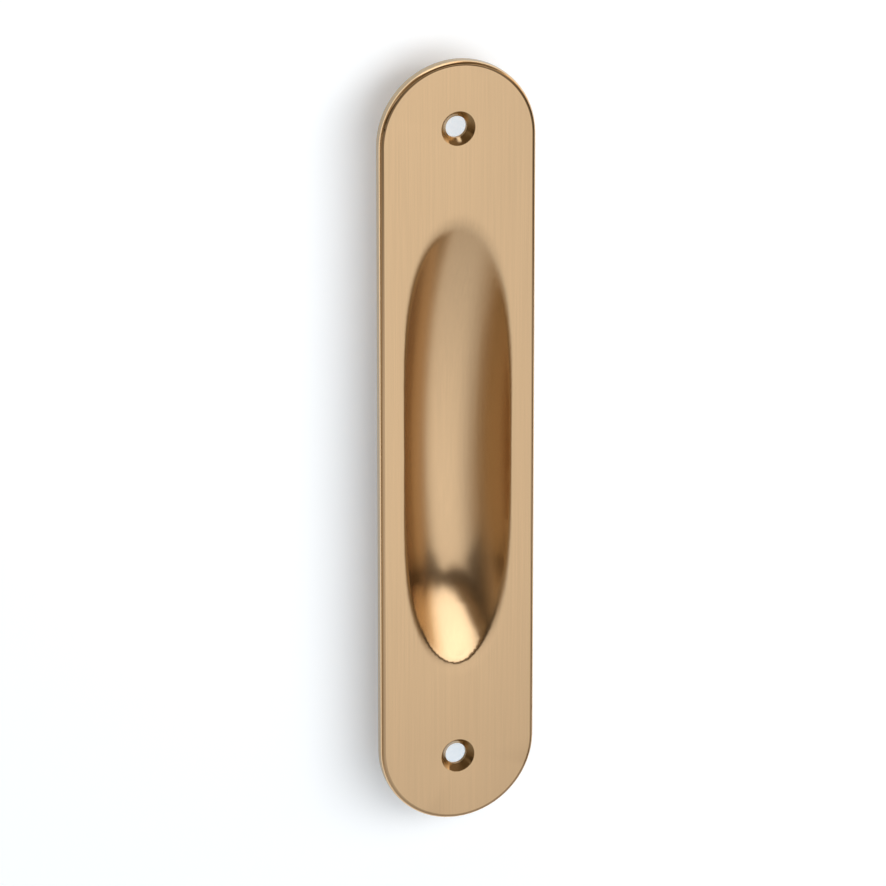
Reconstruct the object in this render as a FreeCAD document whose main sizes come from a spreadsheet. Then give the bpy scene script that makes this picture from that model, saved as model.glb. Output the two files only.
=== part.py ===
import FreeCAD, Part
import math
import os

import Sketcher

# Pocket door pull: one brass plate with a scooped finger dish and two countersunk screw holes.
# Millimetres. X runs across the plate, Z along it, and Y points into the door.
# The origin lies midway between the screw holes, in the plane of the plate's back.
# Both sides and both ends are alike, so a quarter of each form is built and then mirrored twice.

# Every driving size: its alias, its value, and what it sets.
SIZES = (
    ("plate_length", 181.0, "overall length of the plate"),
    ("plate_width", 36.9, "overall width, which is also the diameter of both round ends"),
    ("plate_thickness", 2.4, "thickness of the plate outside the dish"),
    ("front_edge_round", 1.1, "radius round the front edge of the plate"),
    ("hole_from_end", 15.5, "distance from each end of the plate to the middle of its screw hole"),
    ("screw_bore", 5.0, "diameter of the hole behind the countersink"),
    ("countersink_width", 7.9, "diameter of the countersink in the face"),
    ("countersink_angle", 90.0, "full angle of the countersink, in degrees"),
    ("countersink_round", 0.3, "radius that breaks the rim of the countersink"),
    ("dish_from_end", 37.4, "distance from each end of the plate to the dish before its rim is rolled"),
    ("flange_width", 5.95, "face left on either side of the dish before its rim is rolled"),
    ("dish_fullness", 0.984, "depth of the dish over half its width; at 1 its section is half round"),
    ("side_roll_strip", 0.6, "strip of face that the rolled rim takes halfway along the dish"),
    ("end_roll_strip", 2.6, "strip of face that the rolled rim takes at either end of the dish"),
    ("shell_wall", 1.5, "wall behind the dish"),
    ("shell_root_round", 1.0, "radius where the back of the dish meets the plate"),
    ("tool_overrun", 1.0, "how far a cutting tool reaches past the metal"),
)

# Sizes that follow from the driving ones.
FOLLOWING = (
    ("hole_height", "=plate_length / 2 - hole_from_end"),
    ("countersink_flare", "=tan(countersink_angle / 2 * 1deg)"),
    ("countersink_depth", "=(countersink_width - screw_bore) / 2 / countersink_flare"),
    ("countersink_mouth", "=countersink_width / 2 + tool_overrun * countersink_flare"),
    ("dish_length", "=plate_length - 2 * dish_from_end"),
    ("dish_half_width", "=plate_width / 2 - flange_width"),
    ("dish_depth", "=dish_fullness * dish_half_width"),
    ("dish_bow_radius", "=(dish_half_width^2 + dish_depth^2) / (2 * dish_depth)"),
    ("dish_section_radius", "=dish_depth < dish_half_width ? dish_bow_radius : dish_half_width"),
    ("dish_sweep_radius", "=((dish_length / 2)^2 + dish_depth^2) / (2 * dish_depth)"),
    ("face_from_axis", "=dish_sweep_radius - dish_depth"),
    ("sweep_axis", "=-plate_thickness - face_from_axis"),
    ("section_centre_rise", "=dish_section_radius - dish_depth + plate_thickness"),
    ("section_front_rise", "=max(section_centre_rise; plate_thickness) + tool_overrun"),
    ("dish_reach", "=acos((face_from_axis - tool_overrun) / dish_sweep_radius) / 1deg"),
    ("shell_section_radius", "=dish_section_radius + shell_wall"),
    ("shell_sweep_radius", "=dish_sweep_radius + shell_wall"),
    ("shell_reach", "=acos((face_from_axis - tool_overrun) / shell_sweep_radius) / 1deg"),
)

# Seams across the rim, as shares of half the dish's length; the roll gets its own radius at each.
SEAMS = {"middle": "0", "side": "0.5", "shoulder": "0.78", "tip": "0.94", "end": "1"}

# How a sketch numbers the points of a line or arc, and its own axes.
START, END, CENTRE = range(1, 4)
HORIZONTAL_AXIS, VERTICAL_AXIS = range(-1, -3, -1)

ON_PLANE = 1e-4

doc = FreeCAD.newDocument("pocket_door_pull")
sheet = doc.addObject("Spreadsheet::Sheet", "sizes")


def write_row(row, alias, content, note=""):
    """Write one line of the sheet and name its value."""
    sheet.set(f"A{row}", alias)
    sheet.set(f"B{row}", content)
    sheet.set(f"C{row}", note)
    sheet.setAlias(f"B{row}", alias)


def seam_rows():
    """Work out where each seam crosses the rim, how steep the wall is there, and the roll's radius."""
    for seam, share in SEAMS.items():
        yield f"{seam}_height", f"={share} * dish_length / 2"
        yield f"{seam}_angle", f"=atan({seam}_height / face_from_axis) / 1deg"
        yield f"{seam}_ray", f"=sqrt({seam}_height^2 + face_from_axis^2)"
        yield f"{seam}_drop", f"=max({seam}_ray - dish_sweep_radius + dish_section_radius; 0)"
        yield f"{seam}_lean", f"={seam}_drop / dish_section_radius * face_from_axis / {seam}_ray"
        yield f"{seam}_slope", f"=acos({seam}_lean) / 1deg"
        yield f"{seam}_strip", f"=side_roll_strip + (end_roll_strip - side_roll_strip) * {share}^2"
        yield f"{seam}_roll", f"={seam}_strip / tan({seam}_slope / 2 * 1deg)"


def fill_sheet():
    """Write the driving sizes and then those that follow from them."""
    for row, (alias, value, note) in enumerate(SIZES, start=1):
        write_row(row, alias, str(value), note)
    formulas = FOLLOWING + tuple(seam_rows())
    for row, (alias, formula) in enumerate(formulas, start=len(SIZES) + 1):
        write_row(row, alias, formula)
    doc.recompute()


def size(alias):
    """Return one value of the sheet as a plain number."""
    return float(getattr(sheet, alias))


def add(kind, name, **formulas):
    """Add an object and bind its properties; two underscores in a name stand for a point."""
    thing = doc.addObject(kind, name)
    for prop, formula in formulas.items():
        thing.setExpression(prop.replace("__", "."), formula)
    return thing


def finished(thing):
    """Recompute, and stop if the object or its shape is unsound."""
    doc.recompute()
    shape = thing.Shape
    broken = {"Invalid", "Error"} & set(thing.State)
    if broken or shape.isNull() or not shape.isValid():
        raise RuntimeError(f"{thing.Name} did not build")
    return thing


def constrain(sketch, kind, *where):
    """Add one constraint to a sketch and return its number."""
    return sketch.addConstraint(Sketcher.Constraint(kind, *where))


def datum(sketch, name, formula, kind, *where):
    """Add a named dimension to a sketch and bind it to the sheet."""
    sketch.renameConstraint(constrain(sketch, kind, *where), name)
    sketch.setExpression(f"Constraints.{name}", formula)


def plate_outline():
    """Draw a quarter of the outline: a straight side, and half of a half-round end."""
    sketch = add(
        "Sketcher::SketchObject", "plate_outline",
        Placement__Base__y="-sizes.plate_thickness",
    )
    sketch.Placement.Rotation = FreeCAD.Rotation(FreeCAD.Vector(1, 0, 0), 90)
    radius = size("plate_width") / 2
    centre_height = size("plate_length") / 2 - radius
    middle = FreeCAD.Vector(0, 0, 0)
    centre = FreeCAD.Vector(0, centre_height, 0)
    across = FreeCAD.Vector(radius, 0, 0)
    up = FreeCAD.Vector(0, radius, 0)
    round_end = Part.Circle(centre, FreeCAD.Vector(0, 0, 1), radius)
    waist = sketch.addGeometry(Part.LineSegment(middle, across))
    side = sketch.addGeometry(Part.LineSegment(across, centre + across))
    top = sketch.addGeometry(Part.ArcOfCircle(round_end, 0, math.pi / 2))
    spine = sketch.addGeometry(Part.LineSegment(centre + up, middle))
    constrain(sketch, "Coincident", waist, START, HORIZONTAL_AXIS, START)
    constrain(sketch, "Coincident", waist, END, side, START)
    constrain(sketch, "Tangent", side, END, top, START)
    constrain(sketch, "Coincident", top, END, spine, START)
    constrain(sketch, "Coincident", spine, END, waist, START)
    constrain(sketch, "Horizontal", waist)
    constrain(sketch, "Vertical", side)
    constrain(sketch, "Vertical", spine)
    constrain(sketch, "PointOnObject", top, CENTRE, VERTICAL_AXIS)
    datum(sketch, "end_radius", "sizes.plate_width / 2", "Radius", top, radius)
    datum(
        sketch, "end_height", "(sizes.plate_length - sizes.plate_width) / 2",
        "DistanceY", HORIZONTAL_AXIS, START, top, CENTRE, centre_height,
    )
    return sketch


def half_section(name, radius_alias):
    """Draw half of the cross section: round at the bottom, with a straight side in front of it."""
    sketch = add("Sketcher::SketchObject", name)
    rise = size("section_centre_rise")
    front_rise = size("section_front_rise")
    radius = size(radius_alias)
    centre = FreeCAD.Vector(0, -rise, 0)
    front = FreeCAD.Vector(0, -front_rise, 0)
    across = FreeCAD.Vector(radius, 0, 0)
    circle = Part.Circle(centre, FreeCAD.Vector(0, 0, 1), radius)
    bow = Part.ArcOfCircle(circle, 0, math.pi / 2)
    bottom = sketch.addGeometry(bow)
    middle = sketch.addGeometry(Part.LineSegment(bow.EndPoint, front))
    mouth = sketch.addGeometry(Part.LineSegment(front, front + across))
    side = sketch.addGeometry(Part.LineSegment(front + across, bow.StartPoint))
    constrain(sketch, "Coincident", bottom, END, middle, START)
    constrain(sketch, "Coincident", middle, END, mouth, START)
    constrain(sketch, "Coincident", mouth, END, side, START)
    constrain(sketch, "Tangent", side, END, bottom, START)
    constrain(sketch, "Vertical", middle)
    constrain(sketch, "Horizontal", mouth)
    constrain(sketch, "Vertical", side)
    constrain(sketch, "PointOnObject", bottom, CENTRE, VERTICAL_AXIS)
    constrain(sketch, "PointOnObject", middle, START, VERTICAL_AXIS)
    datum(sketch, "section_radius", f"sizes.{radius_alias}", "Radius", bottom, radius)
    datum(
        sketch, "centre_rise", "sizes.section_centre_rise",
        "DistanceY", bottom, CENTRE, HORIZONTAL_AXIS, START, rise,
    )
    datum(
        sketch, "front_rise", "sizes.section_front_rise",
        "DistanceY", middle, END, HORIZONTAL_AXIS, START, front_rise,
    )
    return sketch


def swing(name, section, reach):
    """Sweep a section along the dish, by turning it about the far axis in front of the plate."""
    turned = add("Part::Revolution", name, Base__y="sizes.sweep_axis", Angle=f"sizes.{reach}")
    turned.Source = section
    turned.Axis = FreeCAD.Vector(1, 0, 0)
    turned.Solid = True
    return finished(turned)


def joined(kind, name, shapes, tidy=False):
    """Combine several objects; unless told to tidy, keep the seams between their faces."""
    result = add(kind, name)
    result.Shapes = shapes
    result.Refine = tidy
    return finished(result)


def cut_from(name, base, tool):
    """Take one object away from another, and keep the seams."""
    result = add("Part::Cut", name)
    result.Base = base
    result.Tool = tool
    result.Refine = False
    return finished(result)


def dish_tools():
    """Build the scoop that leaves the finger dish, in stretches that end at the seams of its rim."""
    section = half_section("dish_section", "dish_section_radius")
    scoops = [swing("dish_scoop", section, "dish_reach")]
    for seam in ("side", "shoulder", "tip"):
        scoops.append(swing(f"dish_scoop_to_{seam}", section, f"{seam}_angle"))
    return scoops


def shell():
    """Build the swelling that the dish makes in the back of the plate."""
    section = half_section("shell_section", "shell_section_radius")
    sweep = swing("shell_sweep", section, "shell_reach")
    behind = add(
        "Part::Box", "behind_the_face",
        Length="sizes.plate_width / 2",
        Width="sizes.dish_depth + sizes.shell_wall",
        Height="sizes.plate_length / 2",
        Placement__Base__y="-sizes.plate_thickness / 2",
    )
    return joined("Part::MultiCommon", "shell", [sweep, finished(behind)])


def hole_tools():
    """Build the tools for a countersunk screw hole."""
    place = {
        "Placement__Base__y": "-sizes.plate_thickness - sizes.tool_overrun",
        "Placement__Base__z": "sizes.hole_height",
    }
    bore = add(
        "Part::Cylinder", "screw_bore",
        Radius="sizes.screw_bore / 2",
        Height="sizes.plate_thickness + 2 * sizes.tool_overrun",
        **place,
    )
    cone = add(
        "Part::Cone", "countersink",
        Radius1="sizes.countersink_mouth",
        Radius2="sizes.screw_bore / 2",
        Height="sizes.countersink_depth + sizes.tool_overrun",
        **place,
    )
    for tool in (bore, cone):
        tool.Placement.Rotation = FreeCAD.Rotation(FreeCAD.Vector(1, 0, 0), -90)
        finished(tool)
    return [bore, cone]


def extent(edge):
    """Give how far an edge gets from the middle of the plate, across and along."""
    box = edge.BoundBox
    return max(abs(box.XMin), abs(box.XMax)), max(abs(box.ZMin), abs(box.ZMax))


def edges_in_plane(shape, y):
    """Give the numbered edges that lie in the plane at this depth, but not between two quarters."""
    found = []
    for number, edge in enumerate(shape.Edges, start=1):
        box = edge.BoundBox
        in_plane = abs(box.YMin - y) < ON_PLANE and abs(box.YMax - y) < ON_PLANE
        if in_plane and min(extent(edge)) > ON_PLANE:
            found.append((number, edge))
    return found


def is_outline(edge):
    """Tell whether an edge belongs to the outside of the plate."""
    radius = size("plate_width") / 2
    centre_height = size("plate_length") / 2 - radius
    spot = edge.valueAt(sum(edge.ParameterRange) / 2)
    return math.isclose(math.hypot(spot.x, max(spot.z - centre_height, 0)), radius, abs_tol=ON_PLANE)


def rolled(name, base, edges):
    """Round the given edges of an object; each entry is a number and the radius at either end."""
    result = add("Part::Fillet", name)
    result.Base = base
    result.Edges = edges
    return finished(result)


def outside_rounds(blank):
    """List the rounds of the solid blank: the front edge, and the root of the shell behind."""
    rounds = []
    for number, _ in edges_in_plane(blank.Shape, -size("plate_thickness")):
        rounds.append((number, size("front_edge_round"), size("front_edge_round")))
    for number, edge in edges_in_plane(blank.Shape, 0):
        if not is_outline(edge):
            rounds.append((number, size("shell_root_round"), size("shell_root_round")))
    return rounds


def roll_at(spot):
    """Give the radius of the rolled rim at this point, from those at the seams on either side."""
    seams = [(size(f"{seam}_height"), size(f"{seam}_roll")) for seam in SEAMS]
    for (low, low_roll), (high, high_roll) in zip(seams, seams[1:]):
        share = (abs(spot.z) - low) / (high - low)
        if share < 1 + ON_PLANE:
            return low_roll + share * (high_roll - low_roll)
    raise RuntimeError("the rim reaches past its last seam")


def face_rounds(pierced):
    """List the rounds in the face: the rolled rim of the dish and the rims of the countersinks."""
    rounds = []
    for number, edge in edges_in_plane(pierced.Shape, -size("plate_thickness")):
        across, along = extent(edge)
        if along < size("dish_length") / 2 + ON_PLANE:
            start = edge.firstVertex(True).Point
            end = edge.lastVertex(True).Point
            rounds.append((number, roll_at(start), roll_at(end)))
        elif across < size("countersink_width") / 2 + ON_PLANE:
            rounds.append((number, size("countersink_round"), size("countersink_round")))
    return rounds


def doubled(name, part, across, tidy):
    """Join a part to its mirror image in the plane that this direction is square to."""
    image = add("Part::Mirroring", f"{name}_image")
    image.Source = part
    image.Normal = across
    return joined("Part::MultiFuse", name, [part, finished(image)], tidy)


def whole(name, quarter, tidy=False):
    """Make the whole of a form from a quarter of it."""
    upper_half = doubled(f"{name}_upper_half", quarter, FreeCAD.Vector(1, 0, 0), tidy)
    return doubled(name, upper_half, FreeCAD.Vector(0, 0, 1), tidy)


fill_sheet()

# The blank: the flat plate with the back of the dish swelling out of it.
plate = add("Part::Extrusion", "plate", LengthFwd="sizes.plate_thickness")
plate.Base = plate_outline()
plate.DirMode = "Custom"
plate.Dir = FreeCAD.Vector(0, 1, 0)
plate.Solid = True
blank_quarter = joined("Part::MultiFuse", "blank_quarter", [finished(plate), shell()])
rounded_quarter = rolled("rounded_quarter", blank_quarter, outside_rounds(blank_quarter))
blank = whole("blank", rounded_quarter, tidy=True)

# The dish and the screw holes. The tools keep their seams, for the roll that follows.
tools_quarter = joined("Part::MultiFuse", "tools_quarter", dish_tools() + hole_tools())
pierced = cut_from("pierced", blank, whole("tools", tools_quarter))

# The rolled rim of the dish, and the softened rims of the countersinks.
pull_plate = rolled("pull_plate", pierced, face_rounds(pierced))
pull_plate.Label = "pull_plate"

os.makedirs("parts", exist_ok=True)
pull_plate.Shape.exportStep("parts/pull_plate.step")
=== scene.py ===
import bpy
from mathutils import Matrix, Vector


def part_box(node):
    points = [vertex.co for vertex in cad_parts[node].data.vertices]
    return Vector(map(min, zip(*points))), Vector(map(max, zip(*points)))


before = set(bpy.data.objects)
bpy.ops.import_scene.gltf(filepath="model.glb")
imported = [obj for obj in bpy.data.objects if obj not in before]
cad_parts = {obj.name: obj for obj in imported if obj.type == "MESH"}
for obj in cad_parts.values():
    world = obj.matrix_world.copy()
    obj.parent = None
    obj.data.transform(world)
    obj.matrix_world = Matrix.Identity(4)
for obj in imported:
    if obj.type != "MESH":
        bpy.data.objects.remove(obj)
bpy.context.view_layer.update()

import math

import bpy
from mathutils import Matrix, Vector

# The pull plate in metres: the whole as the frame has it, and the smaller sizes by name.
MM = 0.001
LOW_CORNER, HIGH_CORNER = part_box("pull_plate")
PLATE_WIDTH = HIGH_CORNER[0] - LOW_CORNER[0]
PLATE_LENGTH = HIGH_CORNER[2] - LOW_CORNER[2]
FACE_Y = LOW_CORNER[1]
BULGE_BACK_Y = HIGH_CORNER[1]
EDGE_ROUND = 1.1 * MM
SCREW_HOLE_Z = 75.0 * MM
COUNTERSINK_RADIUS = 3.95 * MM
WELD_DISTANCE = 0.001 * MM
CREASE_ANGLE = 35

# The photographer's camera, found from the outline and the screw holes. Angles are in degrees.
CAMERA_AZIMUTH = -19.34
CAMERA_ELEVATION = 20.01
CAMERA_DISTANCE = 1446.7 * MM
PICTURE_SIDE = 886
FOCAL_PIXELS = 6433.6
AIM_RIGHT_PIXELS = 15.28
AIM_UP_PIXELS = -4.69
SENSOR_WIDTH = 36.0
CLIP_END = 10.0

# Linear colours of the metal and of the painted shade on it. The last three multiply the brass.
WHITE = (1.0, 1.0, 1.0, 1.0)
BRASS = (0.83, 0.575, 0.335)
WALL_SHADE = (0.48, 0.46, 0.38, 1.0)
SIDE_SHADE = (0.5, 0.55, 0.6, 1.0)
DARK_RING = (0.25, 0.22, 0.18, 1.0)

# The brushing: noise per metre along each axis, how far a line's tone departs, and the roughness.
BRUSH_GRAIN = (6000.0, 1500.0, 45.0)
BRUSH_DETAIL = 2.0
BRUSH_NOISE = (0.3, 0.7)
BRUSH_CONTRAST = 0.025
BRUSHED_ROUGHNESS = (0.175, 0.185)
POLISHED_ROUGHNESS = 0.12

# Where the finish and its painted shade change. A facing is one part of the surface's normal, from -1 to 1.
# Where the edge, the side and the ends of the ring start is told in shares of the edge round.
TONE_RISES = (-95 * MM, -10 * MM)
TONE_AT_BOTTOM = 0.88
TONE_FALLS = (-5 * MM, 18 * MM)
TONE_AT_RIGHT = 0.95
BACK_FACING = (0.5, 0.8)
LEFT_WALL_FACING = (0.28, 0.76)
RIGHT_WALL_FACING = (-0.95, -0.75)
RIGHT_WALL_SHADE = 0.56
LIT_CONE_FACING = (0.2, 0.9)
EDGE_STARTS = (1.0, 0.8)
SIDE_STARTS = (0.6, 0.8)
COUNTERSINK_BLUR = 0.1 * MM
RING_WIDTH = 0.6 * MM
RING_BLUR = 0.1 * MM
RING_OUTER_BLUR = (0.9, 1.1)
RING_ENDS = (0.4, 0.5)
RING_AT_MIDDLE = 0.4

# The ground: its colour, the lift that turns it white, and the painted spots of light below the screw
# holes.
PALE = (0.86, 0.86, 0.86, 1.0)
COOL_LIFT = (0.58, 0.8, 1.0, 1.0)
GROUND_LIFT = 0.24
GROUND_GAP = 0.3 * MM
GROUND_REACH = 1.5
LIT_SPOT_RIGHT = 4.3 * MM
LIT_SPOT_DOWN = 4.7 * MM
LIT_SPOT_RADIUS = 3.0 * MM
LIT_SPOT_BLUR = 1.6
LIT_SPOT_LIFT = 0.6

# The table in the room that the metal mirrors. Directions are in degrees, and a level of 1 is white.
TABLE_RISE = (-85.0, -5.0)
TABLE_LEVELS = (0.47, 0.86)
TABLE_LEFT_SHIFT_RISE = (-40.0, 0.0)
TABLE_LEFT_SHIFT = 0.12
TABLE_LEFT_FALL = (-1.2, -0.2)
TABLE_LEFT_LEVEL = 0.2
TABLE_RIGHT_FALL = (30.0, 64.0)
TABLE_RIGHT_LEVEL = 0.25
TABLE_RIGHT_LEAN = 0.3
TABLE_BEHIND = (-0.1, 0.1)
TABLE_BEHIND_LEVEL = 0.3
TABLE_EDGE = 8.3
TABLE_EDGE_BLUR = (-0.5, 0.8)
TABLE_EDGE_DROP = 0.33
TABLE_EDGE_DROPS_RIGHT_OF = 24.0
TABLE_EDGE_DROPS_LEFT_OF = -18.0

# The dark part of the room, between the table and the window.
DARK_LEVEL = 0.05
LEFT_GLOW_FALL = (-75.0, -48.0)
LEFT_GLOW = 0.2
UPPER_GLOW_RISE = (10.0, 15.0)
UPPER_GLOW = 0.14
WARM_DARK = (1.0, 0.72, 0.42, 1.0)
WARM_BELOW_LEVEL = (0.15, 0.6)
WARM_RIGHT_RISE = (45.0, 75.0)
WARM_RIGHT = 0.8

# The window, a wide bright panel above the table, and the panel overhead.
SILL = 14.7
SILL_BLUR = (-0.6, 1.2)
SILL_SLOPE = 0.155
SILL_LEVEL_LEFT_OF = -27.0
SILL_STEEPER = 0.12
SILL_STEEPER_RIGHT_OF = 45.0
WINDOW_HEAD = (26.0, 28.5)
LEFT_JAMB = (-59.0, -8.0)
RIGHT_JAMB = (45.0, 85.0)
RIGHT_JAMB_LEVEL = 0.45
WINDOW_RISE = (15.0, 24.0)
WINDOW_LEVELS = (1.42, 1.6)
OVERHEAD_RISE = (64.0, 70.0)
OVERHEAD_LEVEL = 1.6


class Tree:
    """The shader tree of a material or world, with a few short ways to add nodes to it."""

    def __init__(self, owner):
        """Start the tree of this owner afresh."""
        owner.use_nodes = True
        self.tree = owner.node_tree
        self.tree.nodes.clear()

    def add(self, kind, **settings):
        """Add a node and choose its options."""
        node = self.tree.nodes.new(kind)
        for name, value in settings.items():
            setattr(node, name, value)
        return node

    def feed(self, socket, value):
        """Link a socket to another, or set its value."""
        if isinstance(value, bpy.types.NodeSocket):
            self.tree.links.new(value, socket)
        else:
            socket.default_value = value

    def split(self, vector):
        """Take a vector apart into its X, Y and Z."""
        node = self.add("ShaderNodeSeparateXYZ")
        self.feed(node.inputs[0], vector)
        return node.outputs

    def maths(self, operation, *values):
        """Work out one step of arithmetic."""
        node = self.add("ShaderNodeMath", operation=operation)
        for socket, value in zip(node.inputs, values):
            self.feed(socket, value)
        return node.outputs[0]

    def product(self, first, *others):
        """Multiply two or more numbers."""
        result = first
        for value in others:
            result = self.maths("MULTIPLY", result, value)
        return result

    def excess(self, value, limit):
        """Say how far a value is over a limit: zero where it isn't."""
        return self.maths("MAXIMUM", self.maths("SUBTRACT", value, limit), 0.0)

    def distance(self, first, second):
        """Give the straight distance that two measures square to each other make."""
        squares = [self.maths("POWER", measure, 2.0) for measure in (first, second)]
        return self.maths("SQRT", self.maths("ADD", *squares))

    def ramp(self, value, between, at_low=0.0, at_high=1.0):
        """Go smoothly from at_low to at_high while value crosses the span between two numbers."""
        node = self.add("ShaderNodeMapRange", interpolation_type="SMOOTHSTEP")
        names = ("Value", "From Min", "From Max", "To Min", "To Max")
        for name, number in zip(names, (value, *between, at_low, at_high)):
            self.feed(node.inputs[name], number)
        return node.outputs[0]

    def mix(self, share, first, second):
        """Mix two numbers."""
        node = self.add("ShaderNodeMix", data_type="FLOAT")
        sockets = (node.inputs[0], node.inputs[2], node.inputs[3])
        for socket, value in zip(sockets, (share, first, second)):
            self.feed(socket, value)
        return node.outputs[0]

    def mix_colour(self, share, first, second, way="MIX"):
        """Mix two colours."""
        node = self.add("ShaderNodeMix", data_type="RGBA", blend_type=way)
        sockets = (node.inputs[0], node.inputs[6], node.inputs[7])
        for socket, value in zip(sockets, (share, first, second)):
            self.feed(socket, value)
        return node.outputs[2]

    def dull(self, colour, share, dulled):
        """Multiply a colour by another, as far as the share goes."""
        return self.mix_colour(1.0, colour, self.mix_colour(share, WHITE, dulled), way="MULTIPLY")

    def lead_out(self, kind, surface):
        """Lead the surface to the output node."""
        self.feed(self.add(kind).inputs["Surface"], surface)


def shade_of_brass(level):
    """Give the brass colour at this level of light or dark."""
    return tuple(level * channel for channel in BRASS) + (1.0,)


def shaded_low_right(tree, brass, x, z):
    """Paint shade that deepens the tone a little towards the bottom and the right of the plate."""
    low = tree.ramp(z, TONE_RISES, TONE_AT_BOTTOM, 1.0)
    right = tree.ramp(x, TONE_FALLS, 1.0, TONE_AT_RIGHT)
    tone = tree.add("ShaderNodeCombineColor")
    for channel in tone.inputs:
        tree.feed(channel, tree.product(low, right))
    return tree.mix_colour(1.0, brass, tone.outputs[0], way="MULTIPLY")


def painted_wall_shade(tree, brass, facing, edge, hole):
    """Paint shade on the dish's steep walls and on the countersinks."""
    left_wall = tree.ramp(facing[0], LEFT_WALL_FACING)
    right_wall = tree.ramp(facing[0], RIGHT_WALL_FACING, RIGHT_WALL_SHADE, 0.0)
    both_walls = tree.maths("MAXIMUM", left_wall, right_wall)
    walls = tree.product(both_walls, tree.maths("SUBTRACT", 1.0, edge))
    # A countersink's painted shade is left off at its lower left, which faces up and to the right towards
    # the light: a painted highlight.
    up_right = tree.maths("ADD", facing[0], facing[2])
    cone = tree.product(hole, tree.ramp(up_right, LIT_CONE_FACING, 1.0, 0.0))
    return tree.dull(brass, tree.maths("MAXIMUM", walls, cone), WALL_SHADE)


def with_painted_dark_ring(tree, brass, from_spine, y, z):
    """Paint a fine dark line, a painted dark reflection, where the brushed face turns into the rounded
    edge, darkest at the top.
    """
    start = PLATE_WIDTH / 2 - EDGE_ROUND
    outer_blur = [start + share * RING_WIDTH for share in RING_OUTER_BLUR]
    depths = [FACE_Y + share * EDGE_ROUND for share in RING_ENDS]
    rises = tree.ramp(from_spine, (start, start + RING_BLUR))
    falls = tree.ramp(from_spine, outer_blur, 1.0, 0.0)
    in_front = tree.ramp(y, depths, 1.0, 0.0)
    towards_top = tree.ramp(z, (0.0, PLATE_LENGTH / 2), RING_AT_MIDDLE, 1.0)
    return tree.dull(brass, tree.product(rises, falls, in_front, towards_top), DARK_RING)


def brushed_brass():
    """Satin brass: brushed along the length, smoother on the rounded edge and in the countersinks."""
    material = bpy.data.materials.new("brushed_brass")
    tree = Tree(material)
    place = tree.add("ShaderNodeTexCoord").outputs["Object"]
    normal = tree.add("ShaderNodeNewGeometry").outputs["Normal"]
    x, y, z = tree.split(place)
    facing = tree.split(normal)

    # Brush lines: noise drawn out along Z.
    stretch = tree.add("ShaderNodeMapping")
    tree.feed(stretch.inputs["Vector"], place)
    stretch.inputs["Scale"].default_value = BRUSH_GRAIN
    lines = tree.add("ShaderNodeTexNoise")
    tree.feed(lines.inputs["Vector"], stretch.outputs[0])
    lines.inputs["Scale"].default_value = 1.0
    lines.inputs["Detail"].default_value = BRUSH_DETAIL
    line = lines.outputs["Fac"]

    # The edge is told by the distance from the plate's spine, which is half the width at the outline.
    not_back = tree.ramp(facing[1], BACK_FACING, 1.0, 0.0)
    past_spine = tree.excess(tree.maths("ABSOLUTE", z), (PLATE_LENGTH - PLATE_WIDTH) / 2)
    from_spine = tree.distance(x, past_spine)
    edge_span = [PLATE_WIDTH / 2 - share * EDGE_ROUND for share in EDGE_STARTS]
    edge = tree.product(tree.ramp(from_spine, edge_span), not_back)
    from_hole = tree.distance(x, tree.maths("SUBTRACT", tree.maths("ABSOLUTE", z), SCREW_HOLE_Z))
    hole_span = (COUNTERSINK_RADIUS, COUNTERSINK_RADIUS + COUNTERSINK_BLUR)
    hole = tree.product(tree.ramp(from_hole, hole_span, 1.0, 0.0), not_back)

    brass = tree.mix_colour(
        tree.ramp(line, BRUSH_NOISE), shade_of_brass(1 - BRUSH_CONTRAST), shade_of_brass(1 + BRUSH_CONTRAST)
    )
    brass = shaded_low_right(tree, brass, x, z)
    brass = painted_wall_shade(tree, brass, facing, edge, hole)
    brass = with_painted_dark_ring(tree, brass, from_spine, y, z)

    # The flat side of the plate behind the rounded edge is painted duller and cooler: a painted reflection
    # of the shaded ground.
    side_span = [FACE_Y + share * EDGE_ROUND for share in SIDE_STARTS]
    brass = tree.dull(brass, tree.product(tree.ramp(y, side_span), edge), SIDE_SHADE)

    shader = tree.add("ShaderNodeBsdfPrincipled")
    shader.inputs["Metallic"].default_value = 1.0
    shader.inputs["Anisotropic"].default_value = 1.0
    tree.feed(shader.inputs["Base Color"], brass)
    smooth = tree.maths("MAXIMUM", edge, hole)
    brushed = tree.ramp(line, BRUSH_NOISE, *BRUSHED_ROUGHNESS)
    tree.feed(shader.inputs["Roughness"], tree.mix(smooth, brushed, POLISHED_ROUGHNESS))

    # Brushing along Z spreads reflections sideways: across the surface, square to Z.
    across = tree.add("ShaderNodeVectorMath", operation="CROSS_PRODUCT")
    tree.feed(across.inputs[0], normal)
    across.inputs[1].default_value = (0.0, 0.0, 1.0)
    tree.feed(shader.inputs["Tangent"], across.outputs[0])
    tree.lead_out("ShaderNodeOutputMaterial", shader.outputs[0])
    return material


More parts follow.
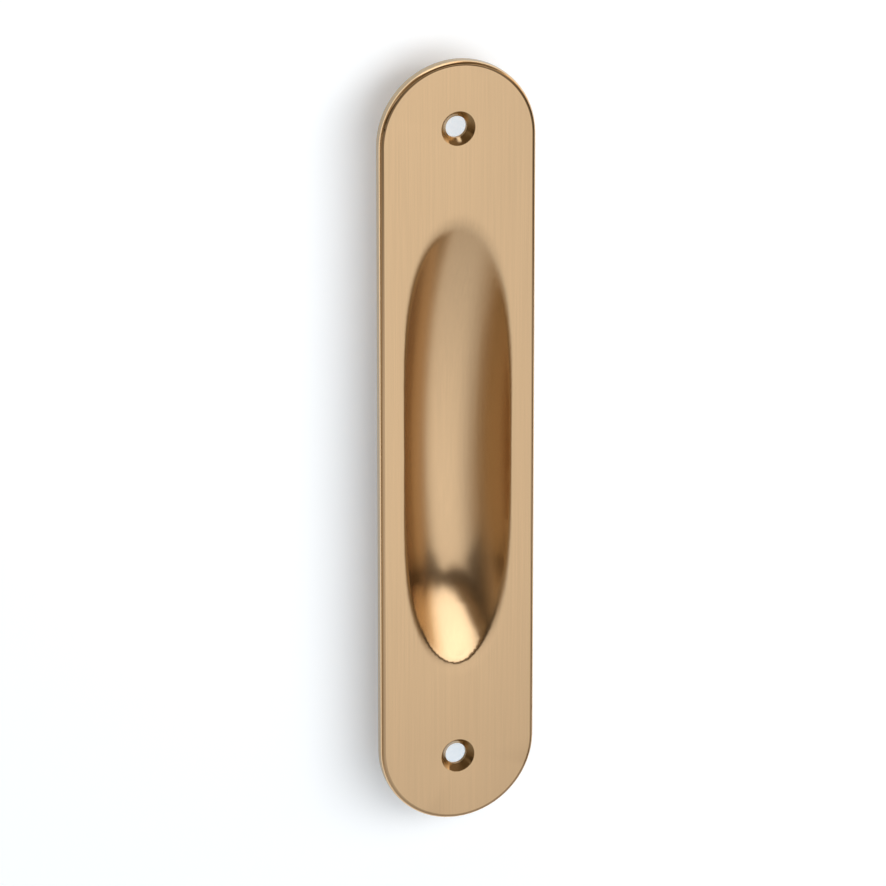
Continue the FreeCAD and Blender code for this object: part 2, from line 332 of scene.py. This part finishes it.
def pale_ground():
    """The pale ground that the plate lies on: white to the camera, and it keeps the shadow."""
    material = bpy.data.materials.new("pale_ground")
    tree = Tree(material)
    cover = tree.add("ShaderNodeBsdfDiffuse")
    cover.inputs["Color"].default_value = PALE

    # Below each screw hole and to its right, a small spot of the ground is lifted brighter: a painted spot
    # of light, which no lamp casts.
    x, _, z = tree.split(tree.add("ShaderNodeTexCoord").outputs["Object"])
    across = tree.maths("SUBTRACT", x, LIT_SPOT_RIGHT)
    height = tree.maths("ABSOLUTE", tree.maths("ADD", z, LIT_SPOT_DOWN))
    from_spot = tree.distance(across, tree.maths("SUBTRACT", height, SCREW_HOLE_Z))
    spot_span = (LIT_SPOT_RADIUS, LIT_SPOT_BLUR * LIT_SPOT_RADIUS)
    lifted = tree.ramp(from_spot, spot_span, LIT_SPOT_LIFT, GROUND_LIFT)

    # The metal mirrors the ground without the spots.
    path = tree.add("ShaderNodeLightPath")
    seen = tree.maths("MAXIMUM", path.outputs["Is Camera Ray"], path.outputs["Is Transmission Ray"])
    mirrored = tree.product(path.outputs["Is Glossy Ray"], GROUND_LIFT)
    lift = tree.add("ShaderNodeEmission")
    lift.inputs["Color"].default_value = COOL_LIFT
    tree.feed(lift.inputs["Strength"], tree.maths("MAXIMUM", tree.product(seen, lifted), mirrored))
    both = tree.add("ShaderNodeAddShader")
    tree.feed(both.inputs[0], cover.outputs[0])
    tree.feed(both.inputs[1], lift.outputs[0])

    # From behind, the ground is clear, so that the plate's back can be seen.
    pick = tree.add("ShaderNodeMixShader")
    tree.feed(pick.inputs[0], tree.add("ShaderNodeNewGeometry").outputs["Backfacing"])
    tree.feed(pick.inputs[1], both.outputs[0])
    tree.feed(pick.inputs[2], tree.add("ShaderNodeBsdfTransparent").outputs[0])
    tree.lead_out("ShaderNodeOutputMaterial", pick.outputs[0])
    return material


def smooth_shading():
    """Shade a mesh smooth, and leave its shape as it is."""
    group = bpy.data.node_groups.new("smooth_shading", "GeometryNodeTree")
    for way in ("INPUT", "OUTPUT"):
        group.interface.new_socket("Geometry", in_out=way, socket_type="NodeSocketGeometry")
    start = group.nodes.new("NodeGroupInput")
    smooth = group.nodes.new("GeometryNodeSetShadeSmooth")
    end = group.nodes.new("NodeGroupOutput")
    group.links.new(start.outputs[0], smooth.inputs[0])
    group.links.new(smooth.outputs[0], end.inputs[0])
    return group


def dress_plate():
    """Give the plate its finish, with smooth faces and sharp creases."""
    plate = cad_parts["pull_plate"]
    plate.data.materials.clear()
    plate.data.materials.append(brushed_brass())
    plate.modifiers.new("weld", "WELD").merge_threshold = WELD_DISTANCE
    plate.modifiers.new("smooth", "NODES").node_group = smooth_shading()
    plate.modifiers.new("creases", "EDGE_SPLIT").split_angle = math.radians(CREASE_ANGLE)


def add_floor():
    """Lay the pale floor just behind the dish, square to the way that the plate faces."""
    y = BULGE_BACK_Y + GROUND_GAP
    reach = GROUND_REACH
    mesh = bpy.data.meshes.new("floor")
    corners = [(-reach, y, -reach), (reach, y, -reach), (reach, y, reach), (-reach, y, reach)]
    mesh.from_pydata(corners, [], [(0, 1, 2, 3)])
    mesh.materials.append(pale_ground())
    floor = bpy.data.objects.new("floor", mesh)
    bpy.context.scene.collection.objects.link(floor)


def towards(azimuth, elevation):
    """Give the direction from the plate at these angles: azimuth 0 is straight in front of its face."""
    turn, rise = math.radians(azimuth), math.radians(elevation)
    return Vector((math.sin(turn) * math.cos(rise), -math.cos(turn) * math.cos(rise), math.sin(rise)))


def add_light(name, azimuth, elevation, distance, width, height, power):
    """Add a soft rectangular lamp that looks at the plate; the metal mirrors the room, not the lamp."""
    back = towards(azimuth, elevation)
    data = bpy.data.lights.new(name, "AREA")
    data.shape = "RECTANGLE"
    data.size, data.size_y = width, height
    data.energy = power
    lamp = bpy.data.objects.new(name, data)
    turn = back.to_track_quat("Z", "Y").to_matrix().to_4x4()
    lamp.matrix_world = Matrix.Translation(back * distance) @ turn
    lamp.visible_glossy = False
    bpy.context.scene.collection.objects.link(lamp)


def table_level(tree, x, y, azimuth, elevation):
    """The table: paler near its far edge, and falling away to both sides and behind the plate."""
    pale = tree.ramp(elevation, TABLE_RISE, *TABLE_LEVELS)
    left_shift = tree.ramp(elevation, TABLE_LEFT_SHIFT_RISE, 0.0, TABLE_LEFT_SHIFT)
    left_fall = tree.ramp(tree.maths("SUBTRACT", x, left_shift), TABLE_LEFT_FALL, TABLE_LEFT_LEVEL, 1.0)
    leaning = tree.maths("ADD", azimuth, tree.product(elevation, TABLE_RIGHT_LEAN))
    right_fall = tree.ramp(leaning, TABLE_RIGHT_FALL, 1.0, TABLE_RIGHT_LEVEL)
    front = tree.ramp(y, TABLE_BEHIND, 1.0, TABLE_BEHIND_LEVEL)
    return tree.product(pale, left_fall, right_fall, front)


def room_level(tree, x, y, azimuth, elevation):
    """The table and, beyond its edge, the dark room with a faint glow at the left and above."""
    rightwards = tree.excess(azimuth, TABLE_EDGE_DROPS_RIGHT_OF)
    leftwards = tree.excess(TABLE_EDGE_DROPS_LEFT_OF, azimuth)
    drop = tree.product(tree.maths("ADD", rightwards, leftwards), TABLE_EDGE_DROP)
    over_edge = tree.maths("SUBTRACT", elevation, tree.maths("SUBTRACT", TABLE_EDGE, drop))
    left_glow = tree.ramp(azimuth, LEFT_GLOW_FALL, LEFT_GLOW, 0.0)
    upper_glow = tree.ramp(elevation, UPPER_GLOW_RISE, 0.0, UPPER_GLOW)
    dark = tree.maths("ADD", tree.maths("ADD", left_glow, upper_glow), DARK_LEVEL)
    table = table_level(tree, x, y, azimuth, elevation)
    return tree.mix(tree.ramp(over_edge, TABLE_EDGE_BLUR), table, dark)


def window_level(tree, azimuth, elevation):
    """The window: a wide bright panel above the table, with a sill that slopes down to the right."""
    level_left = tree.maths("MAXIMUM", azimuth, SILL_LEVEL_LEFT_OF)
    far_right = tree.excess(azimuth, SILL_STEEPER_RIGHT_OF)
    slope = tree.maths("ADD", tree.product(level_left, SILL_SLOPE), tree.product(far_right, SILL_STEEPER))
    over_sill = tree.maths("SUBTRACT", elevation, tree.maths("SUBTRACT", SILL, slope))
    above_sill = tree.ramp(over_sill, SILL_BLUR)
    below_head = tree.ramp(elevation, WINDOW_HEAD, 1.0, 0.0)
    left_jamb = tree.ramp(azimuth, LEFT_JAMB)
    right_jamb = tree.ramp(azimuth, RIGHT_JAMB, 1.0, RIGHT_JAMB_LEVEL)
    glow = tree.ramp(elevation, WINDOW_RISE, *WINDOW_LEVELS)
    return tree.product(above_sill, below_head, left_jamb, right_jamb, glow)


def add_world():
    """White to the camera. To the metal it is a studio: pale table, dark room, a wide window of light."""
    world = bpy.data.worlds.new("studio")
    bpy.context.scene.world = world
    tree = Tree(world)
    x, y, z = tree.split(tree.add("ShaderNodeTexCoord").outputs["Generated"])
    elevation = tree.product(tree.maths("ARCSINE", z), math.degrees(1))
    azimuth = tree.product(tree.maths("ARCTAN2", x, tree.product(y, -1.0)), math.degrees(1))

    room = room_level(tree, x, y, azimuth, elevation)
    window = window_level(tree, azimuth, elevation)
    overhead = tree.ramp(elevation, OVERHEAD_RISE, 0.0, OVERHEAD_LEVEL)
    strength = tree.maths("ADD", tree.maths("ADD", room, overhead), window)

    # What is dark in the room is warm, and so is the right of it.
    seen = tree.add("ShaderNodeLightPath").outputs["Is Camera Ray"]
    warm_dark = tree.ramp(strength, WARM_BELOW_LEVEL, 1.0, 0.0)
    warm_right = tree.ramp(azimuth, WARM_RIGHT_RISE, 0.0, WARM_RIGHT)
    warmth = tree.product(tree.maths("MAXIMUM", warm_dark, warm_right), tree.maths("SUBTRACT", 1.0, seen))
    background = tree.add("ShaderNodeBackground")
    tree.feed(background.inputs["Color"], tree.mix_colour(warmth, WHITE, WARM_DARK))
    tree.feed(background.inputs["Strength"], tree.mix(seen, strength, 1.0))
    tree.lead_out("ShaderNodeOutputWorld", background.outputs[0])


def add_camera():
    """Put the camera where the photograph was taken from."""
    back = towards(CAMERA_AZIMUTH, CAMERA_ELEVATION)
    turn = math.radians(CAMERA_AZIMUTH)
    right = Vector((math.cos(turn), math.sin(turn), 0.0))
    up = back.cross(right)
    per_pixel = CAMERA_DISTANCE / FOCAL_PIXELS
    place = (
        Vector((0.0, FACE_Y, 0.0))
        + back * CAMERA_DISTANCE
        - right * AIM_RIGHT_PIXELS * per_pixel
        - up * AIM_UP_PIXELS * per_pixel
    )
    data = bpy.data.cameras.new("camera")
    data.sensor_width = SENSOR_WIDTH
    data.lens = SENSOR_WIDTH * FOCAL_PIXELS / PICTURE_SIDE
    data.clip_end = CLIP_END
    camera = bpy.data.objects.new("camera", data)
    camera.matrix_world = Matrix.Translation(place) @ Matrix((right, up, back)).transposed().to_4x4()
    bpy.context.scene.collection.objects.link(camera)
    bpy.context.scene.camera = camera


dress_plate()
add_floor()
add_world()
add_light("soft_light", azimuth=16, elevation=14, distance=0.6, width=0.72, height=0.4, power=2.3)
add_camera()
bpy.context.scene.view_settings.view_transform = "Standard"
